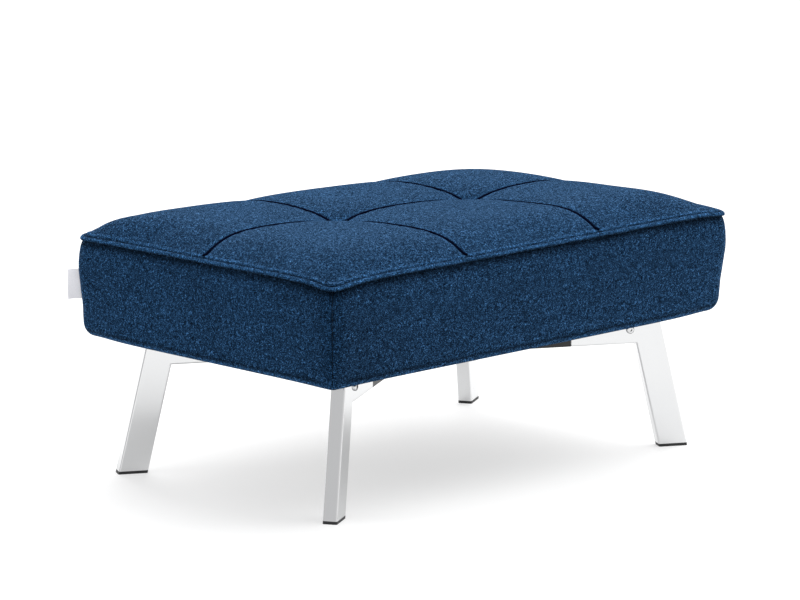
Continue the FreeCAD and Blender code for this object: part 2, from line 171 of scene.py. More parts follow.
def grain_group():
    """Mottled colour and height of a woven pile, from noise at the size of the yarn."""
    group = bpy.data.node_groups.new("pile grain", "ShaderNodeTree")
    for name, kind, value in [
        ("Colour", "NodeSocketColor", (0.02, 0.06, 0.13, 1)),
        ("Yarn Size", "NodeSocketFloat", 0.0024),
        ("Contrast", "NodeSocketFloat", 0.8),
        ("Clumps", "NodeSocketFloat", 0.24),
    ]:
        group.interface.new_socket(name, in_out="INPUT", socket_type=kind).default_value = value
    group.interface.new_socket("Colour", in_out="OUTPUT", socket_type="NodeSocketColor")
    group.interface.new_socket("Height", in_out="OUTPUT", socket_type="NodeSocketFloat")
    group.interface.new_socket("Gain", in_out="OUTPUT", socket_type="NodeSocketFloat")
    inside = node_at(group, "NodeGroupInput")
    outside = node_at(group, "NodeGroupOutput")
    place = node_at(group, "ShaderNodeTexCoord")
    per_metre = node_at(group, "ShaderNodeMath", operation="DIVIDE")
    per_metre.inputs[0].default_value = 1.0
    group.links.new(inside.outputs["Yarn Size"], per_metre.inputs[1])
    fine = node_at(group, "ShaderNodeTexNoise")
    fine.inputs["Detail"].default_value = 3.0
    fine.inputs["Roughness"].default_value = 0.75
    group.links.new(place.outputs["Object"], fine.inputs["Vector"])
    group.links.new(per_metre.outputs[0], fine.inputs["Scale"])
    clumps = node_at(group, "ShaderNodeTexNoise")
    clumps.inputs["Detail"].default_value = 2.0
    group.links.new(place.outputs["Object"], clumps.inputs["Vector"])
    clump_scale = node_at(group, "ShaderNodeMath", operation="MULTIPLY")
    clump_scale.inputs[1].default_value = 0.36
    group.links.new(per_metre.outputs[0], clump_scale.inputs[0])
    group.links.new(clump_scale.outputs[0], clumps.inputs["Scale"])
    broad = node_at(group, "ShaderNodeTexNoise")
    broad.inputs["Scale"].default_value = 9.0
    broad.inputs["Detail"].default_value = 2.0
    group.links.new(place.outputs["Object"], broad.inputs["Vector"])
    noise_span = (0.37, 0.63)
    spread = stretched(group, fine.outputs["Fac"], noise_span, (-1.0, 1.0), clamp=False)
    clump_spread = stretched(group, clumps.outputs["Fac"], noise_span, (-1.0, 1.0), clamp=False)
    mixed = node_at(group, "ShaderNodeMath", operation="MULTIPLY_ADD")
    group.links.new(clump_spread, mixed.inputs[0])
    group.links.new(inside.outputs["Clumps"], mixed.inputs[1])
    group.links.new(spread, mixed.inputs[2])
    power = node_at(group, "ShaderNodeMath", operation="MULTIPLY")
    group.links.new(mixed.outputs[0], power.inputs[0])
    group.links.new(inside.outputs["Contrast"], power.inputs[1])
    strong = node_at(group, "ShaderNodeMath", operation="EXPONENT")
    group.links.new(power.outputs[0], strong.inputs[0])
    patches = stretched(group, broad.outputs["Fac"], (0.3, 0.7), (0.92, 1.08))
    both = node_at(group, "ShaderNodeMath", operation="MULTIPLY")
    group.links.new(strong.outputs[0], both.inputs[0])
    group.links.new(patches, both.inputs[1])
    tinted = node_at(group, "ShaderNodeVectorMath", operation="SCALE")
    group.links.new(inside.outputs["Colour"], tinted.inputs[0])
    group.links.new(both.outputs[0], tinted.inputs["Scale"])
    group.links.new(tinted.outputs[0], outside.inputs["Colour"])
    group.links.new(fine.outputs["Fac"], outside.inputs["Height"])
    group.links.new(strong.outputs[0], outside.inputs["Gain"])
    return group


grain = grain_group()


def cloth_material(name, colour, yarn, contrast, height, sheen=0.0):
    """A woven cloth of one colour."""
    material = bpy.data.materials.new(name)
    material.use_nodes = True
    tree = material.node_tree
    shader = tree.nodes["Principled BSDF"]
    shader.inputs["Roughness"].default_value = 0.9
    shader.inputs["Specular IOR Level"].default_value = 0.0
    shader.inputs["Sheen Roughness"].default_value = 0.45
    shader.inputs["Sheen Tint"].default_value = (0.30, 0.57, 1.0, 1)
    weave = node_at(tree, "ShaderNodeGroup", node_tree=grain)
    weave.inputs["Colour"].default_value = (*colour, 1)
    weave.inputs["Yarn Size"].default_value = yarn
    weave.inputs["Contrast"].default_value = contrast
    if sheen:
        glow = node_at(tree, "ShaderNodeMath", operation="MULTIPLY", use_clamp=True)
        glow.inputs[1].default_value = sheen
        tree.links.new(weave.outputs["Gain"], glow.inputs[0])
        tree.links.new(glow.outputs[0], shader.inputs["Sheen Weight"])
    bump = node_at(tree, "ShaderNodeBump")
    bump.inputs["Distance"].default_value = height
    bump.inputs["Strength"].default_value = 0.8
    tree.links.new(weave.outputs["Colour"], shader.inputs["Base Color"])
    tree.links.new(weave.outputs["Height"], bump.inputs["Height"])
    tree.links.new(bump.outputs["Normal"], shader.inputs["Normal"])
    return material


def paint_light_and_shade(material):
    """Paints light and shade into the cloth's colour: painted highlight where the cloth stands
    out, painted shade where it is tucked in.
    """
    tree = material.node_tree
    shader = tree.nodes["Principled BSDF"]
    source = shader.inputs["Base Color"].links[0].from_socket
    painted_light = node_at(tree, "ShaderNodeAttribute", attribute_name="painted_light")
    strength = node_at(tree, "ShaderNodeMath", operation="MULTIPLY")
    strength.inputs[1].default_value = 1.1
    tree.links.new(painted_light.outputs["Fac"], strength.inputs[0])
    gain = node_at(tree, "ShaderNodeMath", operation="EXPONENT")
    tree.links.new(strength.outputs[0], gain.inputs[0])
    lit_and_shaded = node_at(tree, "ShaderNodeVectorMath", operation="SCALE")
    tree.links.new(source, lit_and_shaded.inputs[0])
    tree.links.new(gain.outputs[0], lit_and_shaded.inputs["Scale"])
    tree.links.new(lit_and_shaded.outputs[0], shader.inputs["Base Color"])


def set_painted_light(mesh, values):
    """Stores the painted light at each point of a piece: painted highlight up to 1, painted shade
    down to -1.
    """
    layer = mesh.attributes.new("painted_light", "FLOAT", "POINT")
    layer.data.foreach_set("value", np.asarray(values, np.float32))


cover_cloth = cloth_material(
    "cover cloth", (0.0062, 0.0215, 0.0505), yarn=0.0018, contrast=1.55, height=0.0008, sheen=0.115
)
# The cover cloth gets painted light and shade: lighter on its ridges, darker in its grooves and
# seams.
paint_light_and_shade(cover_cloth)

# Quilted top. Six panels sewn edge to edge over soft pads, pulled down hard at the two places
# where the seams cross, and rolled over towards the flange all round.
seam_x = 0.15733
cover_half = (0.476, 0.319)
flange_half = (0.474, 0.317)
stitch_inset = 0.0065
top_half = (flange_half[0] - stitch_inset, flange_half[1] - stitch_inset)
top_corner = 0.022
soft_corner = 0.034
stitch_height = 0.4165
rear_droop = 0.0050
far_corner_droop = 0.0040
crown_height = 0.4505
field_fullness = 0.0065
fullness_reach = 0.045
groove_depth = 0.0018
groove_width = 0.004
tuft_dip = 0.032
tuft_reach = 0.043
top_floor = 0.4135
sat_depth = 0.0042
ridge_height = 0.0018
ridge_inset = 0.0042
# How far the stitch line drops at each corner, and over what distance.
corner_droops = {(-1, -1): 0.0095, (1, -1): 0.0060, (-1, 1): 0.0020, (1, 1): 0.0060}
droop_reach = 0.050
# How quickly the top rises from each edge: the distance that sets the slope, and its shape. The
# rear and the right are more sat in than the front and the left.
crisp_roll = (0.0435, 1.26)
right_roll = (0.092, 1.37)
rear_roll = (0.106, 1.37)


def stitch_line_height(x, y):
    """Height of the top-stitch row: lower at the corners and towards the rear."""
    rear = (1 + y / cover_half[1]) / 2
    right = (1 + x / cover_half[0]) / 2
    height = stitch_height - rear_droop * rear - far_corner_droop * rear * right
    for (side_x, side_y), droop in corner_droops.items():
        gap = np.hypot(cover_half[0] - side_x * x, cover_half[1] - side_y * y)
        height = height - droop * np.exp(-((gap / droop_reach) ** 1.6))
    return height


def from_rim(x, y):
    """Distance in from the edge of the top, whose left rear corner is rounder than the others."""
    radius = np.where((x < 0) & (y > 0), soft_corner, top_corner)
    gap_x = top_half[0] - np.abs(x)
    gap_y = top_half[1] - np.abs(y)
    round_gap = radius - np.hypot(radius - gap_x, radius - gap_y)
    return np.where((gap_x < radius) & (gap_y < radius), round_gap, np.minimum(gap_x, gap_y))


def eased(value):
    """A smooth step from 0 to 1."""
    value = np.clip(value, 0, 1)
    return value * value * (3 - 2 * value)


def rolled_share(inside, reach, shape):
    """How much of its rise the top has made at a distance from one edge."""
    return 1 - np.exp(-((np.maximum(inside, 0) / reach) ** shape))


def bell(value, middle, width):
    """A smooth bump: 1 in the middle and nearly 0 at twice the width."""
    return np.exp(-(((value - middle) / width) ** 2))


def top_height(x, y):
    """Height of the quilted top."""
    edge = stitch_line_height(x, y)
    front = (1 - y / cover_half[1]) / 2
    left = (1 - x / cover_half[0]) / 2
    # The rear edge is crisper towards the left, and the left edge towards the rear.
    rear_reach = rear_roll[0] - 0.052 * left - 0.018 * eased((-x - 0.39) / 0.06)
    left_reach = crisp_roll[0] - 0.016 * eased(y / 0.3)
    rolled = rolled_share(top_half[0] + x, left_reach, crisp_roll[1])
    rolled = rolled * rolled_share(top_half[1] + y, *crisp_roll)
    rolled = rolled * rolled_share(top_half[0] - x, right_roll[0] - 0.030 * front, right_roll[1])
    rolled = rolled * rolled_share(top_half[1] - y, rear_reach, rear_roll[1])
    along = np.abs(np.abs(x) - seam_x)
    across = np.abs(y)
    full = (1 - np.exp(-along / fullness_reach)) * (1 - np.exp(-across / fullness_reach))
    groove = np.maximum(bell(along, 0, groove_width), bell(across, 0, groove_width))
    # Sat in from the middle to the right, except along the front edge.
    sat_in = sat_depth * eased((x + 0.14) / 0.24) * eased((y + 0.25) / 0.14)
    height = edge + (crown_height - sat_in + field_fullness * full - edge) * rolled
    height = height - groove_depth * groove * np.minimum(rolled * 4, 1)
    for side in (-1, 1):
        away = np.hypot(x - side * seam_x, y)
        pulled = np.exp(-((away / tuft_reach) ** 0.75))
        height = height - tuft_dip * pulled * (1 - 0.4 * full)
    inside = from_rim(x, y)
    height = height + ridge_height * bell(inside, ridge_inset, 0.0022)
    return height - ridge_height * bell(inside, 0, 0.0014)


def graded(stops, count):
    """Grid lines over spans that meet at the stops, closest together at each stop."""
    share = np.arange(count) / count
    share = share - 0.75 * np.sin(2 * np.pi * share) / (2 * np.pi)
    lines = [low + (high - low) * share for low, high in zip(stops[:-1], stops[1:])]
    return np.append(np.concatenate(lines), stops[-1])


def into_corner(x, y, half, radius):
    """Moves grid points at the corners of a rectangle so that its outline has round corners."""
    s = (np.abs(x) - (half[0] - radius)) / radius
    t = (np.abs(y) - (half[1] - radius)) / radius
    inside = (s > 0) & (t > 0)
    reach = np.where(inside, np.maximum(s, t), 0)
    low = np.where(inside, np.minimum(s, t), 0)
    turn = (np.pi / 4) * low / np.maximum(reach, 1e-9)
    turn = np.where(s >= t, turn, np.pi / 2 - turn)
    new_x = np.sign(x) * (half[0] - radius + radius * reach * np.cos(turn))
    new_y = np.sign(y) * (half[1] - radius + radius * reach * np.sin(turn))
    return np.where(inside, new_x, x), np.where(inside, new_y, y)


def grid_faces(rows, columns, start=0, flip=False):
    """Four-sided faces of a grid of points held row by row."""
    corner = np.arange(rows - 1)[:, None] * columns + np.arange(columns - 1)[None, :] + start
    around = [corner, corner + 1, corner + columns + 1, corner + columns]
    faces = np.stack(around, -1).reshape(-1, 4)
    return faces[:, ::-1] if flip else faces


def grid_rim(rows, columns):
    """The points round the outside of a grid, in order."""
    first = list(range(columns))
    last = [r * columns + columns - 1 for r in range(1, rows)]
    back = [(rows - 1) * columns + c for c in range(columns - 2, -1, -1)]
    home = [r * columns for r in range(rows - 2, 0, -1)]
    return np.array(first + last + back + home)


def smooth_piece(name, points, faces):
    """A new smooth piece from its points and faces."""
    mesh = bpy.data.meshes.new(name)
    mesh.from_pydata(points, [], faces)
    mesh.shade_smooth()
    piece = bpy.data.objects.new(name, mesh)
    scene.collection.objects.link(piece)
    return piece


def closed_pad(name, upper, lower, rows, columns):
    """A closed piece from an upper and a lower grid of points, joined along their rims."""
    count = rows * columns
    rim = grid_rim(rows, columns)
    following = np.roll(rim, -1)
    edge = np.stack([rim, rim + count, following + count, following], -1)
    faces = np.concatenate(
        [grid_faces(rows, columns), grid_faces(rows, columns, count, True), edge]
    )
    return smooth_piece(name, np.concatenate([upper, lower]).tolist(), faces.tolist())


def fill_out(piece, held, pressure, slack, cap):
    """Blows a piece up as cloth from inside, with the held points fixed and the rest capped."""
    mesh = piece.data
    before = np.zeros(len(mesh.vertices) * 3, np.float32)
    mesh.vertices.foreach_get("co", before)
    before = before.reshape(-1, 3)
    pins = piece.vertex_groups.new(name="held")
    pins.add(held.tolist(), 1.0, "REPLACE")
    cloth = piece.modifiers.new("cloth", "CLOTH")
    settings = cloth.settings
    settings.vertex_group_mass = "held"
    settings.quality = 4
    settings.mass = 0.3
    settings.tension_stiffness = 12
    settings.compression_stiffness = 12
    settings.shear_stiffness = 4
    settings.bending_stiffness = 0.4
    settings.use_pressure = True
    settings.uniform_pressure_force = pressure
    settings.shrink_min = -slack
    settings.effector_weights.gravity = 0
    cloth.collision_settings.use_collision = False
    cloth.collision_settings.use_self_collision = False
    moments = 20
    cloth.point_cache.frame_start = 1
    cloth.point_cache.frame_end = moments
    for moment in range(1, moments + 1):
        scene.frame_set(moment)
    shaped = piece.evaluated_get(bpy.context.evaluated_depsgraph_get()).to_mesh()
    after = np.zeros(len(mesh.vertices) * 3, np.float32)
    shaped.vertices.foreach_get("co", after)
    moved = after.reshape(-1, 3) - before
    length = np.linalg.norm(moved, axis=1, keepdims=True)
    moved *= cap / (cap + length)
    piece.modifiers.remove(cloth)
    piece.vertex_groups.remove(pins)
    mesh.vertices.foreach_set("co", (before + moved).ravel())
    mesh.update()
    scene.frame_set(1)


def smoother(piece):
    """One level of subdivision."""
    layer = piece.modifiers.new("smoother", "SUBSURF")
    layer.levels = 1
    layer.render_levels = 1


def shown(piece, slot, *replaced):
    """Puts a piece on the stool and hides the plain solids that it stands for; its slot is not
    used.
    """
    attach(piece, "root")
    if replaced:
        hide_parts(*replaced)


across_lines = graded([-top_half[0], -seam_x, seam_x, top_half[0]], 60)
along_lines = graded([-top_half[1], 0, top_half[1]], 60)
grid_x, grid_y = np.meshgrid(across_lines, along_lines)
rows, columns = grid_x.shape
on_seam = (np.abs(np.abs(grid_x) - seam_x) < 1e-6) | (np.abs(grid_y) < 1e-6)
on_rim = np.zeros((rows, columns), bool)
on_rim[[0, 1, -2, -1], :] = True
on_rim[:, [0, 1, -2, -1]] = True
rim_radius = np.where((grid_x < 0) & (grid_y > 0), soft_corner, top_corner)
grid_x, grid_y = into_corner(grid_x, grid_y, top_half, rim_radius)
grid_z = top_height(grid_x, grid_y)
upper = np.stack([grid_x, grid_y, grid_z], -1).reshape(-1, 3)
lower = upper.copy()
lower[:, 2] = np.minimum(top_floor, upper[:, 2] - 0.004)
quilted_top = closed_pad("quilted_top", upper, lower, rows, columns)
quilted_top.data.materials.append(cover_cloth)
sewn_points = np.flatnonzero((on_seam | on_rim).ravel())
lower_points = np.arange(rows * columns, 2 * rows * columns)
held_points = np.concatenate([sewn_points, lower_points])
fill_out(quilted_top, held_points, pressure=4.0, slack=0.010, cap=0.0018)
# Painted light and shade on the top: painted highlight on the ridge just inside the stitch line
# and on the shoulders beside the seams, painted shade in the stitch groove and the seam grooves.
inside = from_rim(grid_x, grid_y)
seam_gap = np.minimum(np.abs(np.abs(grid_x) - seam_x), np.abs(grid_y))
painted_light = 0.60 * bell(inside, ridge_inset, 0.0020) - 1.3 * bell(inside, 0, 0.0013)
painted_light = painted_light - 0.9 * bell(seam_gap, 0, 0.0032) + 0.22 * bell(seam_gap, 0.009, 0.004)
set_painted_light(quilted_top.data, np.tile(painted_light.ravel(), 2))
smoother(quilted_top)
panel_names = [
    kind + "_" + place + "_" + end
    for kind in ("top_panel", "quilt_pad")
    for place in ("left", "middle", "right")
    for end in ("front", "rear")
]
shown(quilted_top, "cover_cloth", *panel_names)

# Topper foam. A softer slab under the quilting, pressed down along its edges by the cover.
topper_half = (0.458, 0.301)
topper_corner = 0.020
core_foam_top = 0.345
slab_lines_x = graded([-topper_half[0], 0, topper_half[0]], 40)
slab_lines_y = graded([-topper_half[1], 0, topper_half[1]], 28)
slab_x, slab_y = np.meshgrid(slab_lines_x, slab_lines_y)
slab_rows, slab_columns = slab_x.shape
slab_x, slab_y = into_corner(slab_x, slab_y, topper_half, topper_corner)
slab_top = np.minimum(top_floor, top_height(slab_x, slab_y) - 0.0045)
for spot in (-seam_x, seam_x):
    dip = 0.003 * bell(np.hypot(slab_x - spot, slab_y), 0, 0.03)
    slab_top = np.minimum(slab_top, top_floor - dip)
slab_upper = np.stack([slab_x, slab_y, slab_top], -1).reshape(-1, 3)
slab_lower = slab_upper.copy()
slab_lower[:, 2] = core_foam_top
topper = closed_pad("topper_foam_slab", slab_upper, slab_lower, slab_rows, slab_columns)
foam_cream = cloth_material("foam", (0.72, 0.66, 0.50), yarn=0.0015, contrast=0.2, height=0.0004)
topper.data.materials.append(foam_cream)
shown(topper, "topper_foam", "topper_foam")

# Quilting seams. The panels' edges are turned down and sewn along each groove. A narrow near-black
# cord at the bottom of each groove is painted shade: it stands for the shadow in the seam's slit.
cord_half = 0.0031
cord_half_height = 0.0016
cord_lift = 0.0019
seam_shadow_cloth = cloth_material(
    "seam shadow", (0.0015, 0.0025, 0.010), yarn=0.0010, contrast=0.4, height=0.0003
)


def tube_faces(rings, sides, closed):
    """Faces of a tube held ring by ring, either closed into a loop or left open at its ends."""
    faces = []
    for i in range(rings if closed else rings - 1):
        m = (i + 1) % rings
        for j in range(sides):
            k = (j + 1) % sides
            faces.append((i * sides + j, i * sides + k, m * sides + k, m * sides + j))
    return faces


def tube_along(name, path, across, half_width, half_height, sides=8):
    """A closed flattened cord along a path, given the direction across it at every point."""
    count = len(path)
    tangents = np.gradient(path, axis=0)
    tangents /= np.linalg.norm(tangents, axis=1, keepdims=True)
    across = across - tangents * (across * tangents).sum(1, keepdims=True)
    across /= np.linalg.norm(across, axis=1, keepdims=True)
    up = np.cross(tangents, across)
    turns = np.arange(sides) * 2 * np.pi / sides
    ring = (
        path[:, None, :]
        + across[:, None, :] * (half_width * np.cos(turns))[None, :, None]
        + up[:, None, :] * (half_height * np.sin(turns))[None, :, None]
    )
    points = ring.reshape(-1, 3)
    faces = tube_faces(count, sides, closed=False)
    faces.append(tuple(range(sides))[::-1])
    faces.append(tuple((count - 1) * sides + j for j in range(sides)))
    return smooth_piece(name, points.tolist(), faces)


def seam_cord(name, start, end):
    """The painted shade of one line of quilting from edge to edge: a dark cord in its groove."""
    share = np.linspace(0, 1, 240)[:, None]
    line = np.array(start) * (1 - share) + np.array(end) * share
    height = top_height(line[:, 0], line[:, 1]) + cord_lift
    path = np.column_stack([line, height])
    direction = np.array(end) - np.array(start)
    across = np.tile([-direction[1], direction[0], 0.0], (len(path), 1))
    cord = tube_along(name, path, across, cord_half, cord_half_height)
    cord.data.materials.append(seam_shadow_cloth)
    shown(cord, "cover_cloth")


cord_end = 0.003
reach_x, reach_y = top_half[0] - cord_end, top_half[1] - cord_end
seam_cord("quilt_seam_left", (-seam_x, -reach_y), (-seam_x, reach_y))
seam_cord("quilt_seam_right", (seam_x, -reach_y), (seam_x, reach_y))
seam_cord("quilt_seam_middle", (-reach_x, 0), (reach_x, 0))

# Edge flange. The edges of the top and of the side strips are sewn face to face, turned out and
# top-stitched, which leaves a flat lip of folded cloth all round.
flange_profile = [
    (-0.0100, -0.0050), (-0.0100, -0.0034), (-0.0070, -0.0028), (-0.0052, -0.0004),
    (-0.0030, 0.0004), (-0.0008, -0.0002), (0.0010, -0.0018), (0.0020, -0.0040),
    (0.0016, -0.0060), (0.0000, -0.0070), (-0.0030, -0.0066), (-0.0064, -0.0060),
]
# Painted light and shade at each point of the lip's profile: painted highlight along its outer
# edge, painted shade under it and where it tucks in.
flange_painted_light = (-1.0, -1.0, -1.0, -0.30, 0.0, 0.35, 0.60, 0.30, -0.8, -1.0, -1.0, -1.0)
# Corner radii in turn: right rear, left rear, left front, right front.
flange_radii = (0.026, 0.038, 0.026, 0.026)


def ring_outline(half, radii, straight_step, arc_steps):
    """Points and outward directions once round a rectangle with a radius for each corner."""
    points = []
    normals = []
    signs = [(1, 1), (-1, 1), (-1, -1), (1, -1)]
    centres = [(sx * (half[0] - r), sy * (half[1] - r)) for (sx, sy), r in zip(signs, radii)]
    for quarter, (cx, cy) in enumerate(centres):
        radius = radii[quarter]
        following = radii[(quarter + 1) % 4]
        start = quarter * math.pi / 2
        for step in range(arc_steps + 1):
            turn = start + step * math.pi / 2 / arc_steps
            points.append((cx + radius * math.cos(turn), cy + radius * math.sin(turn)))
            normals.append((math.cos(turn), math.sin(turn)))
        nx, ny = centres[(quarter + 1) % 4]
        turn = start + math.pi / 2
        a = np.array(points[-1])
        b = np.array((nx + following * math.cos(turn), ny + following * math.sin(turn)))
        count = int(np.linalg.norm(b - a) / straight_step)
        for step in range(1, count):
            points.append(tuple(a + (b - a) * step / count))
            normals.append((math.cos(turn), math.sin(turn)))
    return np.array(points), np.array(normals)


def swept_ring(name, outline, normals, profile, heights):
    """A closed band that carries one outline of offsets and heights right round the cushion."""
    count = len(outline)
    sides = len(profile)
    offsets = np.array([p[0] for p in profile])
    lifts = np.array([p[1] for p in profile])
    flat = outline[:, None, :] + normals[:, None, :] * offsets[None, :, None]
    tall = heights[:, None] + lifts[None, :]
    points = np.concatenate([flat, tall[..., None]], -1).reshape(-1, 3)
    faces = tube_faces(count, sides, closed=True)
    return smooth_piece(name, points.tolist(), faces)


flange_outline, flange_normals = ring_outline(flange_half, flange_radii, 0.006, 10)
waver_height = 0.0006
waver_span = 15
lead = waver_span // 2
waver = np.random.default_rng(7).normal(size=len(flange_outline))
waver = np.concatenate([waver[-lead:], waver, waver[:lead]])
kernel = np.hanning(waver_span) / np.hanning(waver_span).sum()
waver = np.convolve(waver, kernel, "valid") * waver_height
flange_heights = stitch_line_height(flange_outline[:, 0], flange_outline[:, 1]) + waver
flange = swept_ring(
    "edge_flange_lip", flange_outline, flange_normals, flange_profile, flange_heights
)
flange.data.materials.append(cover_cloth)
set_painted_light(flange.data, np.tile(flange_painted_light, len(flange_outline)))
smoother(flange)
shown(flange, "cover_cloth", "edge_flange")

# Top-stitching. One row of navy thread that holds the lip flat, with a stitch about every four
# millimetres, sunk a little into the cloth.
stitch_pitch = 0.0042
stitch_half = 0.0017
thread_radius = 0.00045
stitch_sink = 0.0010
thread_navy = cloth_material(
    "stitch thread", (0.006, 0.020, 0.050), yarn=0.0006, contrast=0.3, height=0.0001, sheen=0.1
)


def stitches(name, outline, normals, heights):
    """A row of short raised stitches along a closed line."""
    closed = np.concatenate([outline, outline[:1]])
    levels = np.append(heights, heights[0])
    steps = np.linalg.norm(np.diff(closed, axis=0), axis=1)
    run = np.concatenate([[0], np.cumsum(steps)])
    count = int(run[-1] / stitch_pitch)
    centres = np.arange(count) * run[-1] / count
    shape = [(-1.0, -0.9), (-0.6, 0.4), (0.0, 1.0), (0.6, 0.4), (1.0, -0.9)]
    sides = 6
    points = []
    faces = []
    for middle in centres:
        base = len(points)
        for along, lift in shape:
            place = (middle + along * stitch_half) % run[-1]
            x = np.interp(place, run, closed[:, 0])
            y = np.interp(place, run, closed[:, 1])
            z = np.interp(place, run, levels)
            index = min(int(np.searchsorted(run, place)), len(normals)) - 1
            nx, ny = normals[index]
            for turn in range(sides):
                angle = 2 * math.pi * turn / sides
                out = thread_radius * math.cos(angle)
                rise = thread_radius * (lift + math.sin(angle))
                points.append((x + nx * out, y + ny * out, z + rise))
        for ring in range(len(shape) - 1):
            for turn in range(sides):
                a = base + ring * sides + turn
                b = base + ring * sides + (turn + 1) % sides
                faces.append((a, a + sides, b + sides, b))
        faces.append(tuple(base + turn for turn in range(sides)))
        last = base + (len(shape) - 1) * sides
        faces.append(tuple(last + turn for turn in reversed(range(sides))))
    return smooth_piece(name, points, faces)


stitch_outline = flange_outline - flange_normals * stitch_inset
stitch_heights = flange_heights - stitch_sink
topstitch = stitches("edge_topstitch", stitch_outline, flange_normals, stitch_heights)
topstitch.data.materials.append(thread_navy)
shown(topstitch, "cover_cloth")

# Side strips. Four strips of the same cloth over wadding, sewn to each other at the corners,
# fullest just under the flange, and turned under the board and stapled there.
underside = 0.238
lip_rows, side_rows, turn_rows, under_rows = 4, 22, 8, 4
# How far out and down from the stitch line each row is that is tucked under the flange.
lip_outs = (-0.0100, -0.0072, -0.0046, -0.0028)
lip_drops = (0.0050, 0.0066, 0.0086, 0.0112)
side_set_back = 0.0020
swell_depth = 0.0042
middle_draw_in = 0.0015
least_radius = 0.002
hem_turn = 0.012
hem_return = 0.0425
crease_lift = 0.011
crease_depth = 0.0008
arc_columns = 9
column_pitch = 0.0085
corner_reach = 0.055
# For each corner: the radii in plan at the top and near the bottom, the radius of the turn under
# the board, and how far the strip draws in towards the bottom.
corner_shapes = {
    "left_front": (0.030, 0.016, 0.007, 0.0020),
    "right_front": (0.030, 0.040, 0.022, 0.0020),
    "left_rear": (0.041, 0.038, 0.020, 0.0035),
    "right_rear": (0.030, 0.034, 0.022, 0.0045),
}
# For each strip: the side it faces as a quarter turn, and its two corners in the order that the
# strip runs.
strip_runs = {
    "rear": (0, "left_rear", "right_rear"),
    "left": (1, "left_front", "left_rear"),
    "front": (2, "right_front", "left_front"),
    "right": (3, "right_rear", "right_front"),
}


def strip_points(turn, first, last):
    """Grid of points of one strip, from its top edge down and under to the hem."""
    long_side = turn in (0, 2)
    along_half, out_half = cover_half if long_side else cover_half[::-1]
    straight = 108 if long_side else 70
    share = np.linspace(0, 1, straight + 2)[1:-1]
    count = 2 * arc_columns + straight
    from_corner = (np.arange(count) - arc_columns).clip(0) * column_pitch
    near_first = np.exp(-((from_corner / corner_reach) ** 1.5))
    near_last = near_first[::-1]
    top_a, low_a, turn_a, draw_a = corner_shapes[first]
    top_b, low_b, turn_b, draw_b = corner_shapes[last]

    def varied(middle, at_first, at_last):
        """A measure along the strip, given for its middle and for its two corners."""
        return middle + (at_first - middle) * near_first + (at_last - middle) * near_last

    turn_radius = varied(hem_turn, turn_a, turn_b)
    turn_rise = 1.25 * turn_radius
    draw_in = varied(middle_draw_in, draw_a, draw_b)
    grid = []
    for row in range(lip_rows + side_rows + turn_rows + under_rows):
        depth = 1.0
        if row < lip_rows:
            depth = 0.0
            out = np.full(count, lip_outs[row])
        elif row < lip_rows + side_rows:
            depth = (row - lip_rows + 1) / side_rows
            top = stitch_height - lip_drops[-1]
            low = underside + turn_rise
            level = top + (low - top) * depth
            swell = swell_depth * np.sin(np.pi * min(depth * 1.25, 1.0) ** 0.75)
            out = -side_set_back + swell - draw_in * depth ** 2.2
            out = out - crease_depth * bell(level - underside, crease_lift, 0.003)
        elif row < lip_rows + side_rows + turn_rows:
            angle = (row - lip_rows - side_rows + 1) / turn_rows * np.pi / 2
            out = -side_set_back - draw_in - turn_radius * (1 - np.cos(angle))
            level = underside + turn_rise * (1 - np.sin(angle))
        else:
            part = (row - lip_rows - side_rows - turn_rows + 1) / under_rows
            start = -side_set_back - draw_in - turn_radius
            out = start + (-hem_return - start) * part
            level = np.full(count, underside)
        radius_first = top_a + (low_a - top_a) * depth ** 1.8
        radius_last = top_b + (low_b - top_b) * depth ** 1.8
        points = []
        for column in range(count):
            offset = out[column]
            half_a, half_b = along_half + offset, out_half + offset
            r1 = max(radius_first + min(offset, 0), least_radius)
            r2 = max(radius_last + min(offset, 0), least_radius)
            if column < arc_columns:
                angle = math.radians(135 - 45 * column / arc_columns)
                a = -half_a + r1 + r1 * math.cos(angle)
                b = half_b - r1 + r1 * math.sin(angle)
            elif column >= arc_columns + straight:
                past = column - arc_columns - straight + 1
                angle = math.radians(90 - 45 * past / arc_columns)
                a = half_a - r2 + r2 * math.cos(angle)
                b = half_b - r2 + r2 * math.sin(angle)
            else:
                place = share[column - arc_columns]
                a = (-half_a + r1) * (1 - place) + (half_a - r2) * place
                b = half_b
            points.append([(a, b), (-b, a), (-a, -b), (b, -a)][turn])
        points = np.array(points)
        stitch_line = stitch_line_height(points[:, 0], points[:, 1])
        if row < lip_rows:
            z = stitch_line - lip_drops[row]
        elif row < lip_rows + side_rows:
            z = level + (stitch_line - stitch_height) * (1 - depth) ** 2
        else:
            z = level
        grid.append(np.column_stack([points, z]))
    return np.array(grid)


def strip_painted_light(grid, end):
    """Painted light and shade on a strip: painted shade under the flange, along the hem crease and
    at its end seams, painted highlight on the band under the crease and beside the end seams.
    """
    height = grid[:, :, 2]
    painted_light = np.zeros(height.shape)
    painted_light[:lip_rows] = -1.1
    painted_light[lip_rows] = -0.35
    under_crease = eased((underside + crease_lift - height) / 0.003)
    band = under_crease * eased((height - underside - 0.001) / 0.003)
    painted_light += 0.40 * band - 1.1 * bell(height - underside, crease_lift, 0.0022)
    painted_light[:, [0, -1]] -= 0.8
    painted_light[:, [2, 3, -4, -3]] += 0.12
    # Painted shade: darker towards the left front corner.
    if end == "front":
        painted_light[:, -44:] -= np.linspace(0, 0.26, 44)
    if end == "left":
        painted_light[:, :26] -= np.linspace(0.20, 0, 26)
    return painted_light


def grid_normals(grid):
    """Unit normals of a grid of points."""
    normal = np.cross(np.gradient(grid, axis=0), np.gradient(grid, axis=1))
    return normal / np.linalg.norm(normal, axis=-1, keepdims=True)


